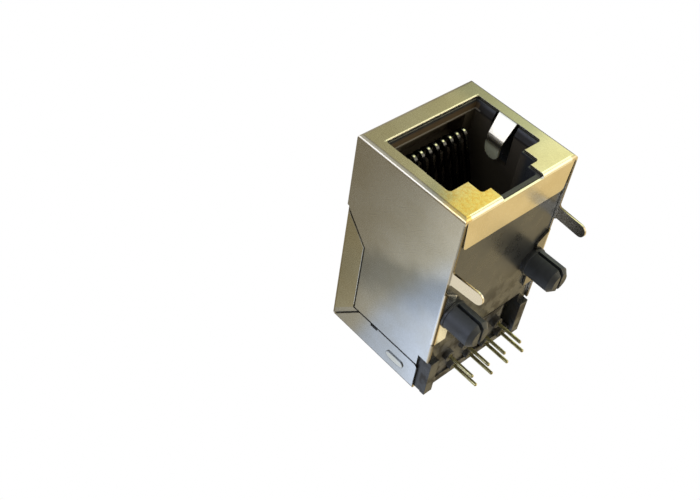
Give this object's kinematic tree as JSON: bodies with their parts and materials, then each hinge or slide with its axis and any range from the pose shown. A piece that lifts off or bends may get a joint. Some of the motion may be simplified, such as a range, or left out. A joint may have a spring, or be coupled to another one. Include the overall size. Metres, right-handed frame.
{
  "type": "shielded modular board jack",
  "caption": "Shielded modular jack with a stepped mouth, spring contacts, split locating pegs, ground tabs and staggered solder pins for a printed circuit board.",
  "frame": {"origin": "on the surface of the circuit board, midway between the two locating pegs", "axes": "+X to the right looking into the mouth, +Y from the mouth towards the rear, +Z away from the board"},
  "size_m": [0.0162, 0.0265, 0.0184],
  "materials": {
    "plated_sheet": "satin",
    "black_plastic": "satin",
    "insert_plastic": "matte",
    "base_plastic": "matte",
    "gold_plate": "polished",
    "pin_plate": "satin",
    "laminate": "matte",
    "ferrite": "matte",
    "chip": "matte",
    "ceramic": "matte"
  },
  "bodies": {
    "root": {"shield": "plated_sheet", "housing": "black_plastic", "contact_carrier": "insert_plastic", "pin_block": "base_plastic", "board": "laminate", "capacitor": "ceramic", "contact_1": "gold_plate", "contact_2": "gold_plate", "contact_3": "gold_plate", "contact_4": "gold_plate", "contact_5": "gold_plate", "contact_6": "gold_plate", "contact_7": "gold_plate", "contact_8": "gold_plate", "pin_1": "pin_plate", "pin_2": "pin_plate", "pin_3": "pin_plate", "pin_4": "pin_plate", "pin_5": "pin_plate", "pin_6": "pin_plate", "pin_7": "pin_plate", "pin_8": "pin_plate", "core_1": "ferrite", "core_2": "ferrite", "core_3": "ferrite", "core_4": "ferrite", "resistor_1": "chip", "resistor_2": "chip", "resistor_3": "chip", "resistor_4": "chip"}
  },
  "joints": []
}
